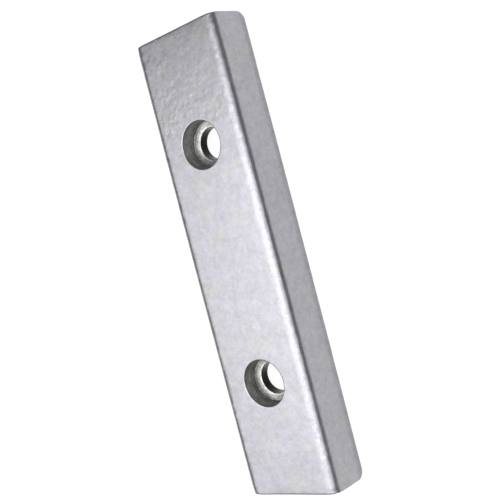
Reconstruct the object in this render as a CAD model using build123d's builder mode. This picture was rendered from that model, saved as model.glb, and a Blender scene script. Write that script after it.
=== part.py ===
"""Bolt-on bar anode: one drafted casting with two stepped bolt holes.

Frame: the flat mounting face lies on z = 0 and the open face looks up, +Z.
The bar runs along Y and its width along X. The origin is the middle of the
mounting face. All sizes are in millimetres.
"""
import os

from build123d import *

# --- the bar, measured at its mounting face ---
LENGTH = 130.0
WIDTH = 30.6
THICKNESS = 13.4
DRAFT_ANGLE = 3.0  # degrees that every side leans in towards the open face

# --- its rounded edges ---
OPEN_EDGE_RADIUS = 2.2  # the two long edges of the open face
BACK_END_RADIUS = 2.4  # the two short edges of the mounting face
SMALL_EDGE_RADIUS = 0.5  # every other edge of the outside

# --- the two bolt holes, on the bar's centre line ---
BOLT_SPACING = 66.0
BOLT_HOLE_DIAMETER = 8.6  # clears an M8 or a 5/16 inch bolt
SEAT_WEB = 3.3  # metal left under the rim of the bolt's seat
SEAT_ANGLE = 158.0  # the seat is a shallow cone, this wide in degrees
SEAT_LIP_RADIUS = 0.3  # rounds the mouth of the bolt hole

# --- the recess for the bolt's head, in the open face ---
HEAD_RECESS_DIAMETER = 12.8
HEAD_RECESS_DEPTH = 4.8
HEAD_RECESS_RIM_RADIUS = 0.4

# --- the wider relief behind the seat, in the mounting face ---
REAR_RELIEF_DIAMETER = 18.5
REAR_RELIEF_RIM_RADIUS = 0.6

# --- worked out from them ---
SEAT_HEIGHT = THICKNESS - HEAD_RECESS_DEPTH
REAR_RELIEF_DEPTH = SEAT_HEIGHT - SEAT_WEB

with BuildPart() as casting:
    # the bar as it leaves its mould, wider at the mounting face
    with BuildSketch(Plane.XY):
        Rectangle(WIDTH, LENGTH)
    extrude(amount=THICKNESS, taper=DRAFT_ANGLE)

    # the large roundings: long edges of the open face, short edges of the back
    open_face = casting.faces().sort_by(Axis.Z)[-1]
    fillet(open_face.edges().filter_by(Axis.Y), OPEN_EDGE_RADIUS)
    back_face = casting.faces().sort_by(Axis.Z)[0]
    fillet(back_face.edges().filter_by(Axis.X), BACK_END_RADIUS)

    # the other outside edges are one smooth line: along the back, up each
    # end and over the open face, so rounding the long back edges rounds it all
    back_face = casting.faces().sort_by(Axis.Z)[0]
    fillet(back_face.edges().filter_by(Axis.Y), SMALL_EDGE_RADIUS)

    # head recess, conical seat and bolt hole from the open face
    with Locations((0, 0, SEAT_HEIGHT)):
        with GridLocations(BOLT_SPACING, BOLT_SPACING, 1, 2):
            CounterSinkHole(
                BOLT_HOLE_DIAMETER / 2,
                HEAD_RECESS_DIAMETER / 2,
                counter_sink_angle=SEAT_ANGLE,
            )

    # wider relief from the mounting face, up to the seat's web
    with BuildSketch(Plane.XY):
        with GridLocations(BOLT_SPACING, BOLT_SPACING, 1, 2):
            Circle(REAR_RELIEF_DIAMETER / 2)
    extrude(amount=REAR_RELIEF_DEPTH, mode=Mode.SUBTRACT)

    # rounded rims, where the holes enter the open face, the seats and the
    # back; the mouth of a bolt hole is the lowest edge of its conical seat
    open_face = casting.faces().sort_by(Axis.Z)[-1]
    fillet(open_face.inner_wires().edges(), HEAD_RECESS_RIM_RADIUS)

    seats = casting.faces().filter_by(GeomType.CONE)
    fillet([seat.edges().sort_by(Axis.Z)[0] for seat in seats], SEAT_LIP_RADIUS)

    back_face = casting.faces().sort_by(Axis.Z)[0]
    fillet(back_face.inner_wires().edges(), REAR_RELIEF_RIM_RADIUS)

casting.part.label = "anode_casting"

os.makedirs("parts", exist_ok=True)
export_step(casting.part, "parts/anode_casting.step")
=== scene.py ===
"""Looks for the bolt-on bar anode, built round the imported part.

Everything is in metres, in the part's own frame: the bar runs along Y, its
mounting face lies on z = 0 and its open face looks up. The mesh is laid out
in millimetres and scaled once at the end.
"""
import math

import bmesh
import bpy
import numpy as np
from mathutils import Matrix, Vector, noise


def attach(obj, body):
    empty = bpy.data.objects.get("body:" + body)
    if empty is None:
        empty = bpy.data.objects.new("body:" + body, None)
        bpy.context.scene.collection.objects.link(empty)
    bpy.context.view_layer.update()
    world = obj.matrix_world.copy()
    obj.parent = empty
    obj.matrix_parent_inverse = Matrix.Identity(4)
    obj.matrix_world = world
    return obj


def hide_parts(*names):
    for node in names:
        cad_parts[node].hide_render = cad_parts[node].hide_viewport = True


MM = 0.001

# --- the bar's sizes, as in the CAD part, in millimetres ---
LENGTH = 130.0
WIDTH = 30.6
THICKNESS = 13.4
DRAFT = math.radians(3.0)
OPEN_EDGE_RADIUS = 2.2
BACK_END_RADIUS = 2.4
SMALL_EDGE_RADIUS = 0.5
HOLE_CENTRES = (-33.0, 33.0)
BORE_RADIUS = 4.3
RECESS_RADIUS = 6.4
RELIEF_RADIUS = 9.25
SEAT_HEIGHT = 8.6
WEB_UNDERSIDE = 5.3
RECESS_RIM = 0.4
SEAT_ANGLE = math.radians(158.0)  # the seat is a shallow cone, this wide
SEAT_LIP = 0.3
RELIEF_RIM = 0.6
# how the open face's long edges ease into their bend and out of it
EASE_IN, EASE_OUT, EASE_STRETCH = 0.18, 0.94, 1.32
RECESS_CORNER = 0.25  # small radius where the recess wall meets the seat
WAIST = 0.010  # share of the width lost towards the ends, as casting shrinkage

# --- the cast skin: wavelengths and depths in millimetres ---
BROAD_WAVE, BROAD_DEPTH = 11.0, 0.04
LUMP_WAVE, LUMP_DEPTH = 3.0, 0.03
PEEL_WAVE, PEEL_DEPTH = 1.3, 0.018  # like orange peel
SPOT_WAVE, SPOT_REACH, SPOT_DEPTH = 1.4, 0.70, 0.085  # small dents and bumps
SPOT_PICK = 7  # spreads the spots' centres, so that each spot gets its own height
PEEL_SHOWS = 0.25  # how much the peel counts beside the spots in the skin's painted shade and highlight
EDGE_WAVE, EDGE_DEPTH, EDGE_REACH = 2.4, 0.10, 0.9  # worn, uneven outside edges
CORNER_DEPTH, CORNER_REACH = 0.4, 0.8  # worn corners
HOLE_SHARE = 0.2  # the holes are smoother than the skin
RELIEF_SEED = Vector((3.7, 11.3, 5.9))

# the +Y end is rough up to the last stretch before its edge, and more so on
# the -X half; the rest of the skin keeps this share of the roughness
SMOOTH_SHARE = 0.25
ROUGH_FROM, ROUGH_FULL = 24.0, 44.0  # along Y: where it begins, where it is full
ROUGH_FADES, ROUGH_FADED, FADED_SHARE = 51.0, 58.0, 0.45  # along Y, and what is left
HALF_FADES, HALF_FADED, HALF_SHARE = -4.0, 8.0, 0.35  # along X, and what is left
LONG_EDGE_SHARE, LONG_EDGE_REACH = 1.2, 3.0  # the open face's long edges stay rough

# --- the metal: linear colours and how strongly its noise shows ---
SKIN_LAVENDER = (0.379, 0.372, 0.406, 1)
SKIN_GREY = (0.382, 0.381, 0.388, 1)
SEAT_METAL = (0.32, 0.321, 0.302, 1)
LIP_PAINTED_HIGHLIGHT = (0.50, 0.50, 0.475, 1)  # painted highlight on the bolt hole's lip
WALL_OXIDE = (0.345, 0.342, 0.295, 1)
WALL_GREY = (0.39, 0.382, 0.40, 1)
# near-black painted shade inside the bolt holes
BORE_PAINTED_SHADE = (0.009, 0.010, 0.008, 1)
# size in millimetres, strength where the skin is smooth, strength where rough
MOTTLES = ((0.5, 0.18, 0.30), (1.2, 0.18, 0.16), (2.6, 0.17, 0.10), (6.0, 0.08, 0.08))
MOTTLE_SHIFT, MOTTLE_STEP = 4.1, 3.6  # of the first layer, and to each next one
HOLE_MOTTLE = 3.5  # the mottling is this much stronger in the holes
HOLLOW_SHADE = 0.14  # painted shade in the dents and painted highlight on the bumps
LINE_SHADE = 1.3  # turned lines round the recess wall and the seat
CREVICE_REACH, CREVICE_SHADE = 0.7, 0.55  # painted shade in the corner where the wall meets the seat
FOOT_SHADE, FOOT_HEIGHTS = 0.20, (3.2, 1.2)  # painted shade along the foot of the sides, for the floor's darker reflection next to the bar
FOOT_MARGIN = 1.0  # but not inside the rear reliefs, nor this near to them
ROUGHNESS, ROUGHNESS_RANGE = 0.26, 0.08  # the least, and how much noise adds
WALL_ROUGHER, WALL_DULLER = 0.25, 0.6  # the recess walls are oxidised
GRAIN_HEIGHT, PEEL_HEIGHT, LINE_HEIGHT = 0.006, 0.012, 0.03  # bumps, in millimetres

# noise in the material: size in millimetres, detail, roughness, shift
PATCH_NOISE, PATCH_EDGE = (6.0, 2.0, 0.5, 1.3), (0.50, 0.66)
STAIN_NOISE, STAIN_EDGE = (2.0, 2.0, 0.6, 3.3), (0.40, 0.60)
LINE_NOISE = (0.45, 2.0, 0.6, 5.5)
ROUGHNESS_NOISE = (2.2, 2.0, 0.5, 9.2)
GRAIN_NOISE = (0.5, 1.0, 0.5, 2.2)
PEEL_NOISE = (1.0, 0.0, 0.5, 2.9)

# where each look in a hole begins and where it is complete: millimetres past
# the radius or the height that it is measured from
INSIDE_RECESS = (0.8, 0.5)  # radius, past the recess wall
BELOW_RIM = (0.0, -0.25)  # height, past the foot of the recess rim
ABOVE_WEB = (0.2, 0.6)  # height, past the web's underside
ON_WALL = (-0.25, -0.08)  # radius, past the recess wall
ON_LIP = (0.9, 0.30)  # radius, past the bolt hole's wall
INSIDE_BORE = (0.25, 0.08)  # radius, past the bolt hole's wall
BELOW_SEAT = (0.0, -0.25)  # height, past the seat at the bolt hole's wall

# --- how finely the mesh is divided ---
ACROSS = 60  # cells across a flat face
DOWN_SIDE = 27  # cells down a side
OPEN_CORNER = 12  # cells round a long edge of the open face
EASE_STEPS = 40  # steps that add up to one such cell
SMALL_CORNER = 4  # cells round the small edge radius
BACK_END = 8  # cells round a short edge of the mounting face
PATCH_HALF = 14.0  # half-length of the mesh patch that holds a hole
ROWS = {"end": 37, "patch": 64, "middle": 86}  # cells along Y
OPEN_PATCH, BACK_PATCH = 24, 7  # rings of cells from a patch's border to its hole
HOLE_ARC = 5  # cells round each small radius in a hole
# cells along each straight stretch of a hole's profile
WALL_CELLS, SEAT_CELLS, BORE_CELLS, WEB_CELLS, RELIEF_CELLS = 12, 6, 5, 5, 5
SHARP_ANGLE = math.radians(60.0)  # only the web's underside meets walls this sharply

# --- the stage and the camera, in metres ---
FLOOR_SIZE = 6.0
BACKDROP_RADIUS, BACKDROP_HEIGHT = 2.9, 0.5
FLOOR_GREY = (0.8, 0.8, 0.8, 1)  # what diffuse light meets
FLOOR_GLOW = 0.95  # what the camera and reflections meet, with a little grey added
FLOOR_SHADOW = (0.16, 0.16, 0.16, 1)  # that grey, which keeps the bar's shadow
WORLD_GREY = (0.12, 0.12, 0.12, 1)
CAMERA_PLACE = (0.132801, 0.007914, 0.176947)
CAMERA_TURN = (-12.4201, 35.7331, -18.2180)  # degrees about X, Y and Z
CAMERA_LENS, CAMERA_SENSOR = 56.693, 36.0  # in millimetres

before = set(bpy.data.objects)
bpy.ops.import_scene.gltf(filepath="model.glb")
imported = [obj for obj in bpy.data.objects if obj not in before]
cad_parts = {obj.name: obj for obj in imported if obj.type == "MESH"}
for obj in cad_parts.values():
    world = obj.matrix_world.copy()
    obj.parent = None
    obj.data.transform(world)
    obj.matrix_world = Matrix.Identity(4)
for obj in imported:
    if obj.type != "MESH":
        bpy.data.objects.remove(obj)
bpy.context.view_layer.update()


# ---------------------------------------------------------------- the mesh
def unit(angle):
    """The direction at an angle, in a plane."""
    return np.array([math.cos(angle), math.sin(angle)])


def corner_centre(sharp, n0, n1, radius):
    """Centre of the arc that rounds a sharp corner between two normals."""
    return sharp - radius * (n0 + n1) / (1 + n0 @ n1)


def corner_arc(sharp, angle_from, angle_to, radius, cells):
    """Points and normals round a corner, from one side's normal to the next."""
    centre = corner_centre(sharp, unit(angle_from), unit(angle_to), radius)
    angles = np.linspace(angle_from, angle_to, cells + 1)
    normals = np.array([unit(a) for a in angles])
    return centre + radius * normals, normals


def soft_corner(sharp, angle_from, angle_to, radius, cells):
    """As corner_arc, but easing in and out of the bend, as a cast edge does."""
    fine = EASE_STEPS * cells
    t = np.linspace(0.0, 1.0, fine + 1)
    turned = 3 * (1 - t) ** 2 * t * EASE_IN + 3 * (1 - t) * t**2 * EASE_OUT + t**3
    angles = angle_from + (angle_to - angle_from) * turned
    normals = np.stack([np.cos(angles), np.sin(angles)], 1)
    mid = (normals[1:] + normals[:-1]) / 2
    steps = np.stack([mid[:, 1], -mid[:, 0]], 1)  # clockwise along the surface
    path = np.concatenate([[[0.0, 0.0]], np.cumsum(steps, 0)])
    path *= EASE_STRETCH * radius * abs(angle_to - angle_from) / fine
    # move the path so that its ends lie on the two sides
    n0, n1 = normals[0], normals[-1]
    offset = np.linalg.solve(
        np.array([n0, n1]), np.array([n0 @ sharp, n1 @ (sharp - path[-1])])
    )
    keep = slice(None, None, EASE_STEPS)
    return (path + offset)[keep], normals[keep]


# directions in the cross-section, as angles from +X
UP, DOWN, SIDE = math.pi / 2, -math.pi / 2, DRAFT
MIRROR = np.array([-1.0, 1.0])

# the cross-section's corners on the right, in X and Z
HALF = WIDTH / 2
HALF_TOP = HALF - THICKNESS * math.tan(DRAFT)
TOP_PTS, TOP_N = soft_corner(
    np.array([HALF_TOP, THICKNESS]), UP, SIDE, OPEN_EDGE_RADIUS, OPEN_CORNER
)
LOW_PTS, LOW_N = corner_arc(
    np.array([HALF, 0.0]), SIDE, DOWN, SMALL_EDGE_RADIUS, SMALL_CORNER
)
# where the runs of the cross-section's loop begin and end
SIDE_FIRST = ACROSS + OPEN_CORNER
SIDE_LAST = SIDE_FIRST + DOWN_SIDE
BACK_FIRST = SIDE_LAST + SMALL_CORNER
BACK_LAST = BACK_FIRST + ACROSS
LEFT_LAST = BACK_LAST + SMALL_CORNER
LEFT_FIRST = LEFT_LAST + DOWN_SIDE
LOOP = LEFT_FIRST + OPEN_CORNER


def section_loop():
    """The bar's cross-section in X and Z, clockwise from the open face's left."""
    points, normals = [], []

    def add(pts, nrm):
        points.extend(pts[:-1])
        normals.extend(nrm[:-1])

    def run(a, b, normal, cells):
        add(np.linspace(a, b, cells + 1), np.tile(normal, (cells + 1, 1)))

    run(TOP_PTS[0] * MIRROR, TOP_PTS[0], unit(UP), ACROSS)
    add(TOP_PTS, TOP_N)
    run(TOP_PTS[-1], LOW_PTS[0], unit(SIDE), DOWN_SIDE)
    add(LOW_PTS, LOW_N)
    run(LOW_PTS[-1], LOW_PTS[-1] * MIRROR, unit(DOWN), ACROSS)
    add(LOW_PTS[::-1] * MIRROR, LOW_N[::-1] * MIRROR)
    run(LOW_PTS[0] * MIRROR, TOP_PTS[-1] * MIRROR, unit(SIDE) * MIRROR, DOWN_SIDE)
    add(TOP_PTS[::-1] * MIRROR, TOP_N[::-1] * MIRROR)
    return np.array(points), np.array(normals)


class Builder:
    """Collects vertices and quads, in millimetres."""

    def __init__(self):
        self.verts = []
        self.quads = []

    def add(self, x, y, z):
        """Adds a point and gives its number."""
        self.verts.append((x, y, z))
        return len(self.verts) - 1

    def strip(self, ring_a, ring_b, closed=True):
        """Joins two rings, or two rows, with a strip of quads."""
        count = len(ring_a)
        for i in range(count if closed else count - 1):
            j = (i + 1) % count
            self.quads.append((ring_a[i], ring_a[j], ring_b[j], ring_b[i]))


# the short back edge's rounding, in Y and Z
BACK_ARC_CENTRE = corner_centre(
    np.array([LENGTH / 2, 0.0]), unit(DOWN), unit(DRAFT), BACK_END_RADIUS
)
STRAIGHT_END = BACK_ARC_CENTRE[0]


def row_positions():
    """Where each cross-section stands along Y, symmetrical about the middle."""
    inner = HOLE_CENTRES[1] - PATCH_HALF
    outer = HOLE_CENTRES[1] + PATCH_HALF
    right = np.concatenate(
        [
            np.linspace(inner, outer, ROWS["patch"] + 1)[1:],
            np.linspace(outer, STRAIGHT_END, ROWS["end"] + 1)[1:],
        ]
    )
    middle = np.linspace(-inner, inner, ROWS["middle"] + 1)
    return np.concatenate([-right[::-1], middle, right])


def seat_at(radius):
    """Height of the conical seat at a radius."""
    return SEAT_HEIGHT - (RECESS_RADIUS - radius) / math.tan(SEAT_ANGLE / 2)


def hole_profile():
    """Radius and height down a hole, from the recess rim to the relief rim."""
    path = []

    def arc(radius, height, size, start, turn):
        """A quarter circle round a centre; it starts at that many quarter turns."""
        for i in range(1 if path else 0, HOLE_ARC + 1):
            a = math.pi / 2 * (start + turn * i / HOLE_ARC)
            path.append((radius + size * math.cos(a), height + size * math.sin(a)))

    def line(radius, height, cells):
        """A straight stretch from the last point."""
        r0, z0 = path[-1]
        for i in range(1, cells + 1):
            share = i / cells
            path.append((r0 + (radius - r0) * share, z0 + (height - z0) * share))

    rim, corner, lip = RECESS_RIM, RECESS_CORNER, SEAT_LIP
    mouth = seat_at(BORE_RADIUS + lip)
    arc(RECESS_RADIUS + rim, THICKNESS - rim, rim, 1, 1)
    line(RECESS_RADIUS, SEAT_HEIGHT + corner, WALL_CELLS)
    arc(RECESS_RADIUS - corner, SEAT_HEIGHT + corner, corner, 0, -1)
    line(BORE_RADIUS + lip, mouth, SEAT_CELLS)
    arc(BORE_RADIUS + lip, mouth - lip, lip, 1, 1)
    line(BORE_RADIUS, WEB_UNDERSIDE, BORE_CELLS)
    line(RELIEF_RADIUS, WEB_UNDERSIDE, WEB_CELLS)
    line(RELIEF_RADIUS, RELIEF_RIM, RELIEF_CELLS)
    arc(RELIEF_RADIUS + RELIEF_RIM, RELIEF_RIM, RELIEF_RIM, 2, 1)
    return path


def build_bar():
    """The whole bar with its ideal surface, before the cast skin's relief."""
    build = Builder()
    points, normals = section_loop()
    ys = row_positions()

    def in_patch(y):
        rounding = 1e-6
        return any(abs(y - c) < PATCH_HALF - rounding for c in HOLE_CENTRES)

    def inside_flat(i):
        return 0 < i < ACROSS or 0 < i - BACK_FIRST < ACROSS

    rings = []
    for y in ys:
        ring = []
        for i, (x, z) in enumerate(points):
            hidden = in_patch(y) and inside_flat(i)
            ring.append(None if hidden else build.add(x, y, z))
        rings.append(ring)
    for a, b in zip(rings, rings[1:]):
        mid = (build.verts[a[0]][1] + build.verts[b[0]][1]) / 2
        for i in range(LOOP):
            j = (i + 1) % LOOP
            flat_cell = i < ACROSS or BACK_FIRST <= i < BACK_LAST
            if flat_cell and in_patch(mid):
                continue
            build.quads.append((a[i], a[j], b[j], b[i]))

    end(build, rings[-1], points, normals, 1)
    end(build, rings[0], points, normals, -1)
    for centre in HOLE_CENTRES:
        j0 = int(np.argmin(abs(ys - (centre - PATCH_HALF))))
        j1 = int(np.argmin(abs(ys - (centre + PATCH_HALF))))
        hole(build, rings, j0, j1, centre)
    return build


def end(build, ring, points, normals, sign):
    """One leaning end face, with its large rounding at the back and its small one."""
    small = SMALL_EDGE_RADIUS
    inner = BACK_END_RADIUS - small
    arc_y, arc_z = BACK_ARC_CENTRE
    spine = (points - small * normals)[:, 1]  # heights of the small edge's centre
    spine_top = THICKNESS - small
    spine_low = small
    low_end = BACK_ARC_CENTRE + inner * unit(DRAFT)
    reach_top = low_end[0] - (spine_top - low_end[1]) * math.tan(DRAFT) - arc_y

    # first the back turns up round its large radius, and the rest moves out less
    last = ring
    for step in range(1, BACK_END + 1):
        share = step / BACK_END
        turn = DOWN + (UP + DRAFT) * share
        away_y, away_z = unit(turn)
        low_y, low_z = arc_y + inner * away_y, arc_z + inner * away_z
        top_y = arc_y + reach_top * share
        new = []
        for i, ((x, z), (nx, nz)) in enumerate(zip(points, normals)):
            if SIDE_LAST <= i <= LEFT_LAST:
                # below the side: on a tube that follows the rounding
                on_side = i in (SIDE_LAST, LEFT_LAST)
                reach = inner if on_side else inner - small * nz
                y = arc_y + reach * away_y
                new_z = arc_z + reach * away_z
            else:
                part = (spine_top - spine[i]) / (spine_top - spine_low)
                height = spine_top - (spine_top - low_z) * part
                y = top_y + (low_y - top_y) * part
                new_z = height + small * nz
            if i > ACROSS:  # the sides lean
                x -= math.copysign((new_z - z) * math.tan(DRAFT), x)
            new.append(build.add(x, sign * y, new_z))
        build.strip(last, new)
        last = new

    # then the small radius turns on to the end face, above the large one
    out_y, out_z = unit(DRAFT)
    spots = [np.array(build.verts[k]) for k in last]
    inward = [np.array([nx, 0.0, nz]) * small for nx, nz in normals]
    low_corners = list(last)
    span = list(range(LEFT_LAST, LOOP)) + list(range(SIDE_LAST + 1))
    previous = [last[i] for i in span]
    for step in range(1, SMALL_CORNER + 1):
        b = UP * step / SMALL_CORNER
        new = [low_corners[LEFT_LAST - step]]
        for i in span[1:-1]:
            spot = spots[i] - inward[i] * (1 - math.cos(b))
            out = small * math.sin(b)
            y, z = spot[1] + sign * out * out_y, spot[2] + out * out_z
            new.append(build.add(spot[0], y, z))
        new.append(low_corners[SIDE_LAST + step])
        build.strip(previous, new, closed=False)
        previous = new

    where = dict(zip(span, previous))
    top = [where[i] for i in range(ACROSS + 1)]
    right = [where[i] for i in range(ACROSS, SIDE_LAST + 1)]
    left = [where[i % LOOP] for i in range(LOOP, LEFT_LAST - 1, -1)]
    low = [low_corners[i] for i in range(BACK_LAST, BACK_FIRST - 1, -1)]
    fill(build, top, right, low, left)


def fill(build, top, right, low, left):
    """Fills the patch between four borders that share their corners."""
    wide, tall = len(top) - 1, len(right) - 1
    p = {k: np.array(build.verts[k]) for k in top + right + low + left}
    grid = [list(top)]
    for v in range(1, tall):
        t = v / tall
        row = [left[v]]
        for u in range(1, wide):
            s = u / wide
            spot = (
                (1 - t) * p[top[u]]
                + t * p[low[u]]
                + (1 - s) * p[left[v]]
                + s * p[right[v]]
                - (1 - s) * (1 - t) * p[top[0]]
                - s * (1 - t) * p[top[-1]]
                - (1 - s) * t * p[low[0]]
                - s * t * p[low[-1]]
            )
            row.append(build.add(*spot))
        row.append(right[v])
        grid.append(row)
    grid.append(list(low))
    for a, b in zip(grid, grid[1:]):
        build.strip(a, b, closed=False)


def hole(build, rings, j0, j1, centre):
    """Joins the open and back faces with one stepped hole."""

    def border(column):
        """The border of the hole's patch, anticlockwise from above."""
        left, right = column(0), column(ACROSS)
        low = [rings[j0][column(i)] for i in range(ACROSS)]
        side = [rings[j][right] for j in range(j0, j1)]
        high = [rings[j1][column(i)] for i in range(ACROSS, 0, -1)]
        back = [rings[j][left] for j in range(j1, j0, -1)]
        return low + side + high + back

    top = border(lambda i: i)
    low = border(lambda i: BACK_LAST - i)
    # every ring's points keep the directions of the borders' points
    angles = []
    for a, b in zip(top, low):
        xa, ya, _ = build.verts[a]
        xb, yb, _ = build.verts[b]
        angles.append(math.atan2(ya + yb - 2 * centre, xa + xb))
    profile = hole_profile()

    def circle(radius, z):
        return [
            build.add(radius * math.cos(a), centre + radius * math.sin(a), z)
            for a in angles
        ]

    def patch(outer, radius, z, cells):
        """Rings from the patch's border in to a circle."""
        made = []
        for step in range(1, cells):
            t = step / cells
            ring = []
            for k, a in zip(outer, angles):
                x, y, _ = build.verts[k]
                rim_x, rim_y = radius * math.cos(a), centre + radius * math.sin(a)
                ring.append(build.add(x + (rim_x - x) * t, y + (rim_y - y) * t, z))
            made.append(ring)
        return made

    stack = [top] + patch(top, profile[0][0], THICKNESS, OPEN_PATCH)
    stack += [circle(radius, z) for radius, z in profile]
    stack += patch(low, profile[-1][0], 0.0, BACK_PATCH)[::-1] + [low]
    for a, b in zip(stack, stack[1:]):
        build.strip(a, b)


def smooth(value, low, high):
    """0 below `low`, 1 above `high`, smooth between."""
    t = min(max((value - low) / (high - low), 0.0), 1.0)
    return t * t * (3 - 2 * t)


def roughness_at(p):
    """How rough the cast skin is at a point: SMOOTH_SHARE where it is smooth, 1
    at the rough end and a little more on the long edges."""
    along = smooth(p.y, ROUGH_FROM, ROUGH_FULL)
    along *= 1 - (1 - FADED_SHARE) * smooth(p.y, ROUGH_FADES, ROUGH_FADED)
    along *= 1 - (1 - HALF_SHARE) * smooth(p.x, HALF_FADES, HALF_FADED)
    to_corner = math.hypot(HALF_TOP - abs(p.x), THICKNESS - p.z)
    on_edge = LONG_EDGE_SHARE * smooth(LONG_EDGE_REACH - to_corner, 0.0, 1.0)
    return SMOOTH_SHARE + (1 - SMOOTH_SHARE) * max(along, on_edge)


def edge_gaps(p):
    """Distances to the nearest, second and third nearest outside faces."""
    to_side = HALF - p.z * math.tan(DRAFT) - abs(p.x)
    to_end = LENGTH / 2 - p.z * math.tan(DRAFT) - abs(p.y)
    return sorted((max(to_side, 0.0), max(to_end, 0.0), THICKNESS - p.z, p.z))[:3]


def skin_share(p):
    """1 on the cast skin, falling to HOLE_SHARE over a hole's rim and inside it."""
    radius = min(math.hypot(p.x, p.y - centre) for centre in HOLE_CENTRES)
    if p.z > (WEB_UNDERSIDE + SEAT_HEIGHT) / 2:
        outside = smooth(radius, RECESS_RADIUS, RECESS_RADIUS + RECESS_RIM)
    else:
        outside = smooth(radius, RELIEF_RADIUS, RELIEF_RADIUS + RELIEF_RIM)
    return HOLE_SHARE + (1 - HOLE_SHARE) * outside


def wave(p, size, place):
    """Noise from 0 to 1 with waves of a size; another place, another pattern."""
    return 0.5 + 0.5 * noise.noise(p / size + place * RELIEF_SEED)


def relief(p, rough):
    """How far the cast skin lies below the ideal surface, in millimetres, and
    how hollow it is there: from about -1 on a bump to 1 in a dent."""
    peel = wave(p, PEEL_WAVE, 2)
    distances, centres = noise.voronoi(p / SPOT_WAVE - 2 * RELIEF_SEED)
    spot = noise.cell(SPOT_PICK * centres[0])
    spot *= smooth(SPOT_REACH - distances[0], 0.0, SPOT_REACH)

    depth = BROAD_DEPTH * wave(p, BROAD_WAVE, 1)
    depth += LUMP_DEPTH * wave(p, LUMP_WAVE, -1)
    depth += rough * PEEL_DEPTH * peel
    depth += rough * SPOT_DEPTH * (0.5 + 0.5 * spot)
    _, edge_gap, corner_gap = edge_gaps(p)  # an edge is near two faces, a corner three
    depth += EDGE_DEPTH * math.exp(-edge_gap / EDGE_REACH) * wave(p, EDGE_WAVE, 3)
    depth += CORNER_DEPTH * math.exp(-corner_gap / CORNER_REACH)
    return depth * skin_share(p), rough * (PEEL_SHOWS * (2 * peel - 1) + spot)


def bar_mesh():
    """The bar with its relief, and the two attributes that the metal reads."""
    build = build_bar()
    mesh = bpy.data.meshes.new("anode_bar")
    mesh.from_pydata(build.verts, [], build.quads)
    mesh.validate()
    bm = bmesh.new()
    bm.from_mesh(mesh)
    bmesh.ops.recalc_face_normals(bm, faces=bm.faces)
    bm.to_mesh(mesh)
    bm.free()
    spots = [v.co.copy() for v in mesh.vertices]
    rough = [roughness_at(p) for p in spots]
    depth, hollow = np.array([relief(p, r) for p, r in zip(spots, rough)]).T
    normals = np.array([v.normal for v in mesh.vertices])
    co = np.array(spots) - depth[:, None] * normals
    co[:, 0] *= 1 - WAIST * (co[:, 1] / (LENGTH / 2)) ** 2
    mesh.vertices.foreach_set("co", (co * MM).astype(np.float32).ravel())
    for name, values in (("rough_skin", rough), ("hollow", hollow)):
        mesh.attributes.new(name, "FLOAT", "POINT").data.foreach_set("value", values)
    mesh.update()
    mesh.shade_smooth()
    mesh.set_sharp_from_angle(angle=SHARP_ANGLE)
    return mesh


bar = bpy.data.objects.new("anode_bar", bar_mesh())
bpy.context.scene.collection.objects.link(bar)
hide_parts("anode_casting")
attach(bar, "root")


# ------------------------------------------------------------ the material
class Graph:
    """Small helpers for writing a node tree as formulas."""

    def __init__(self, material):
        material.use_nodes = True
        self.tree = material.node_tree
        self.tree.nodes.clear()

    def put(self, socket, value):
        """Links a socket to an output, or gives it a constant."""
        if isinstance(value, bpy.types.NodeSocket):
            self.tree.links.new(value, socket)
        else:
            socket.default_value = value

    def node(self, kind, inputs=(), **settings):
        """A node whose inputs are given by name or by number."""
        made = self.tree.nodes.new(kind)
        for name, value in settings.items():
            setattr(made, name, value)
        for key, value in dict(inputs).items():
            self.put(made.inputs[key], value)
        return made

    def math(self, operation, *values):
        """One step of arithmetic."""
        made = self.node("ShaderNodeMath", enumerate(values), operation=operation)
        return made.outputs[0]

    def ramp(self, value, low, high):
        """0 below `low`, 1 above `high`, smooth between; reversed if low > high."""
        span = {"Value": value, "From Min": low, "From Max": high}
        made = self.node("ShaderNodeMapRange", span, interpolation_type="SMOOTHSTEP")
        return made.outputs[0]

    def near(self, value, level, reach):
        """A ramp that begins and ends this far past a level."""
        return self.ramp(value, level + reach[0], level + reach[1])

    def noise(self, where, size, detail, rough, shift):
        """Noise from 0 to 1 with features of about `size` millimetres."""
        place = {0: where, 1: (shift, 2 * shift, 3 * shift)}
        moved = self.node("ShaderNodeVectorMath", place, operation="ADD").outputs[0]
        scale = {"Scale": 1 / size, "Detail": detail, "Roughness": rough}
        return self.node("ShaderNodeTexNoise", {"Vector": moved, **scale}).outputs[0]

    def blend(self, share, a, b):
        """Colour a where share is 0, colour b where it is 1."""
        inputs = {0: share, 6: a, 7: b}  # the numbers of its colour sockets
        return self.node("ShaderNodeMix", inputs, data_type="RGBA").outputs[2]

    def scale(self, vector, value):
        """A colour or a place times a number."""
        inputs = {0: vector, "Scale": value}
        return self.node("ShaderNodeVectorMath", inputs, operation="SCALE").outputs[0]


def hole_masks(g, radius, z):
    """1 in the recess, on its wall, on the bolt hole's lip and in the bolt hole."""
    below_rim = g.near(z, THICKNESS - RECESS_RIM, BELOW_RIM)
    above_web = g.near(z, WEB_UNDERSIDE, ABOVE_WEB)
    deep = g.math("MULTIPLY", below_rim, above_web)
    in_hole = g.math("MULTIPLY", deep, g.near(radius, RECESS_RADIUS, INSIDE_RECESS))
    on_wall = g.math("MULTIPLY", in_hole, g.near(radius, RECESS_RADIUS, ON_WALL))
    on_lip = g.math("MULTIPLY", in_hole, g.near(radius, BORE_RADIUS, ON_LIP))
    below_seat = g.near(z, seat_at(BORE_RADIUS), BELOW_SEAT)
    in_bore = g.math("MULTIPLY", g.near(radius, BORE_RADIUS, INSIDE_BORE), below_seat)
    return in_hole, on_wall, on_lip, in_bore


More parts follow.
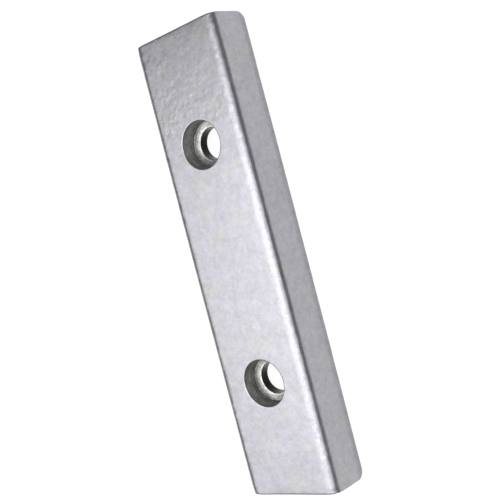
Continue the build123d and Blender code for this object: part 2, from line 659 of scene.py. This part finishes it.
def zinc_material():
    """Dull cast zinc: mottled, fine-grained, darker and yellower in the holes, with
    painted shade in the bolt holes, the crevices, the dents and along the foot, and
    painted highlights on the lips and bumps.
    """
    material = bpy.data.materials.new("cast_zinc")
    g = Graph(material)

    metres = g.node("ShaderNodeTexCoord").outputs["Object"]
    spot = g.scale(metres, 1 / MM)
    x, y, z = g.node("ShaderNodeSeparateXYZ", {"Vector": spot}).outputs
    wild = g.node("ShaderNodeAttribute", attribute_name="rough_skin").outputs["Fac"]
    hollow = g.node("ShaderNodeAttribute", attribute_name="hollow").outputs["Fac"]

    # distance from the nearest hole's axis
    along = g.math("SUBTRACT", g.math("ABSOLUTE", y), HOLE_CENTRES[1])
    squares = [g.math("MULTIPLY", side, side) for side in (x, along)]
    radius = g.math("SQRT", g.math("ADD", *squares))
    in_hole, on_wall, on_lip, in_bore = hole_masks(g, radius, z)

    # colour: lavender-grey metal with plainer grey patches
    patches = g.ramp(g.noise(spot, *PATCH_NOISE), *PATCH_EDGE)
    stains = g.ramp(g.noise(spot, *STAIN_NOISE), *STAIN_EDGE)
    skin = g.blend(patches, SKIN_LAVENDER, SKIN_GREY)
    in_holes = (
        (in_hole, SEAT_METAL),
        # the lip's lighter colour is a painted highlight
        (on_lip, LIP_PAINTED_HIGHLIGHT),
        (on_wall, g.blend(stains, WALL_OXIDE, WALL_GREY)),
        # the bore's near-black is painted shade
        (in_bore, BORE_PAINTED_SHADE),
    )
    for mask, metal in in_holes:
        skin = g.blend(mask, skin, metal)

    # light and dark mottling, from fine grain to broad clouds
    shade = 0.0
    for step, (size, smooth_end, rough_end) in enumerate(MOTTLES):
        strength = g.math("MULTIPLY_ADD", wild, rough_end - smooth_end, smooth_end)
        shift = MOTTLE_SHIFT + MOTTLE_STEP * step
        cloud = g.noise(spot, size, detail=0.0, rough=0.5, shift=shift)
        shade = g.math("MULTIPLY_ADD", g.math("SUBTRACT", cloud, 0.5), strength, shade)
    stronger = g.math("MULTIPLY_ADD", in_hole, HOLE_MOTTLE - 1, 1.0)
    shade = g.math("MULTIPLY", shade, stronger)

    # then painted shade along the foot, the turned lines, painted shade in the crevice,
    # and painted shade in the dents with painted highlight on the bumps
    outside = g.ramp(radius, RELIEF_RADIUS, RELIEF_RADIUS + FOOT_MARGIN)
    foot = g.math("MULTIPLY", g.ramp(z, *FOOT_HEIGHTS), outside)
    shade = g.math("ADD", shade, g.math("MULTIPLY_ADD", foot, -FOOT_SHADE, 1.0))
    turned_spot = g.node("ShaderNodeCombineXYZ", {"X": radius, "Z": z}).outputs[0]
    lines = g.noise(turned_spot, *LINE_NOISE)
    line_shade = g.math("MULTIPLY", g.math("SUBTRACT", lines, 0.5), in_hole)
    shade = g.math("MULTIPLY_ADD", line_shade, LINE_SHADE, shade)
    # painted shade in the corner where the recess wall meets the seat
    low = g.ramp(z, SEAT_HEIGHT + CREVICE_REACH, SEAT_HEIGHT)
    crevice = g.math("MULTIPLY", on_wall, low)
    shade = g.math("MULTIPLY_ADD", crevice, -CREVICE_SHADE, shade)
    # painted shade in the dents, painted highlight on the bumps
    shade = g.math("MULTIPLY_ADD", hollow, -HOLLOW_SHADE, shade)

    rough = g.noise(spot, *ROUGHNESS_NOISE)
    rough = g.math("MULTIPLY_ADD", rough, ROUGHNESS_RANGE, ROUGHNESS)
    rough = g.math("MULTIPLY_ADD", on_wall, WALL_ROUGHER, rough)
    metallic = g.math("MULTIPLY_ADD", on_wall, -WALL_DULLER, 1.0)

    # bumps: grain everywhere, peel where the skin is rough, turned lines in the holes
    height = g.math("MULTIPLY", g.noise(spot, *GRAIN_NOISE), GRAIN_HEIGHT)
    peel = g.math("MULTIPLY", g.noise(spot, *PEEL_NOISE), wild)
    height = g.math("MULTIPLY_ADD", peel, PEEL_HEIGHT, height)
    turned = g.math("MULTIPLY", lines, in_hole)
    height = g.math("MULTIPLY_ADD", turned, LINE_HEIGHT, height)
    bump = g.node("ShaderNodeBump", {"Strength": 1.0, "Distance": MM, "Height": height})

    inputs = {
        "Base Color": g.scale(skin, shade),
        "Metallic": metallic,
        "Roughness": rough,
        "Normal": bump.outputs[0],
    }
    surface = g.node("ShaderNodeBsdfPrincipled", inputs).outputs[0]
    g.node("ShaderNodeOutputMaterial", {"Surface": surface})
    return material


bar.data.materials.append(zinc_material())


# --------------------------------------------------------------- the stage
def floor_material():
    """White to the camera and in reflections, plain pale grey to diffuse light."""
    material = bpy.data.materials.new("floor")
    g = Graph(material)
    path = g.node("ShaderNodeLightPath").outputs
    seen = path["Is Camera Ray"]
    for name in ("Is Glossy Ray", "Is Transmission Ray"):
        seen = g.math("MAXIMUM", seen, path[name])
    plain = g.node("ShaderNodeBsdfDiffuse", {"Color": FLOOR_GREY}).outputs[0]
    shaded = g.node("ShaderNodeBsdfDiffuse", {"Color": FLOOR_SHADOW}).outputs[0]
    glow = g.node("ShaderNodeEmission", {"Color": (1, 1, 1, 1), "Strength": FLOOR_GLOW})
    white = g.node("ShaderNodeAddShader", {0: shaded, 1: glow.outputs[0]}).outputs[0]
    surface = g.node("ShaderNodeMixShader", {0: seen, 1: plain, 2: white}).outputs[0]
    g.node("ShaderNodeOutputMaterial", {"Surface": surface})
    return material


bpy.ops.mesh.primitive_plane_add(size=FLOOR_SIZE)
floor = bpy.context.object
floor.name = "floor"
floor.data.materials.append(floor_material())

# a low white wall all round, so that low views look past the floor at white too
bpy.ops.mesh.primitive_cylinder_add(
    vertices=96,
    radius=BACKDROP_RADIUS,
    depth=BACKDROP_HEIGHT,
    end_fill_type="NOTHING",
    location=(0, 0, BACKDROP_HEIGHT / 2),
)
backdrop = bpy.context.object
backdrop.name = "backdrop"
backdrop.data.materials.append(floor.data.materials[0])


def grey_card(x, length, height, shade):
    """A low upright card beside the bar that only its metal mirrors."""
    mesh = bpy.data.meshes.new("grey_card")
    half = length / 2
    corners = [(x, -half, 0), (x, half, 0), (x, half, height), (x, -half, height)]
    mesh.from_pydata(corners, [], [(0, 1, 2, 3)])
    card = bpy.data.objects.new("grey_card", mesh)
    bpy.context.scene.collection.objects.link(card)
    material = bpy.data.materials.new("grey_card")
    g = Graph(material)
    matt = g.node("ShaderNodeBsdfDiffuse", {"Color": (shade, shade, shade, 1)})
    g.node("ShaderNodeOutputMaterial", {"Surface": matt.outputs[0]})
    mesh.materials.append(material)
    card.visible_camera = False
    card.visible_diffuse = False
    card.visible_shadow = False


grey_card(x=0.055, length=0.30, height=0.036, shade=0.54)


# ---------------------------------------------------------------- the light
def softbox(name, edges_x, edges_y, height, radiance):
    """A level lamp facing down, given by where its edges are in metres."""
    lamp = bpy.data.lights.new(name, "AREA")
    lamp.shape = "RECTANGLE"
    lamp.size = edges_x[1] - edges_x[0]
    lamp.size_y = edges_y[1] - edges_y[0]
    lamp.energy = radiance * math.pi * lamp.size * lamp.size_y
    body = bpy.data.objects.new(name, lamp)
    body.location = (sum(edges_x) / 2, sum(edges_y) / 2, height)
    bpy.context.scene.collection.objects.link(body)


softbox("ceiling", (-1.14, 1.05), (-0.60, 0.20), 0.80, 1.62)
softbox("ceiling_far", (-1.14, 1.05), (0.20, 0.40), 0.80, 0.80)
softbox("ceiling_middle", (-0.46, 0.28), (-0.31, 0.21), 0.70, 1.13)

world = bpy.data.worlds.new("world")
bpy.context.scene.world = world
world.use_nodes = True
world.node_tree.nodes["Background"].inputs["Color"].default_value = WORLD_GREY

# --------------------------------------------------------------- the camera
camera_data = bpy.data.cameras.new("camera")
camera_data.sensor_width = CAMERA_SENSOR
camera_data.lens = CAMERA_LENS
camera_data.clip_start = 0.01
camera_data.clip_end = 20
camera = bpy.data.objects.new("camera", camera_data)
camera.location = CAMERA_PLACE
camera.rotation_euler = [math.radians(angle) for angle in CAMERA_TURN]
bpy.context.scene.collection.objects.link(camera)
bpy.context.scene.camera = camera
bpy.context.scene.view_settings.view_transform = "Standard"
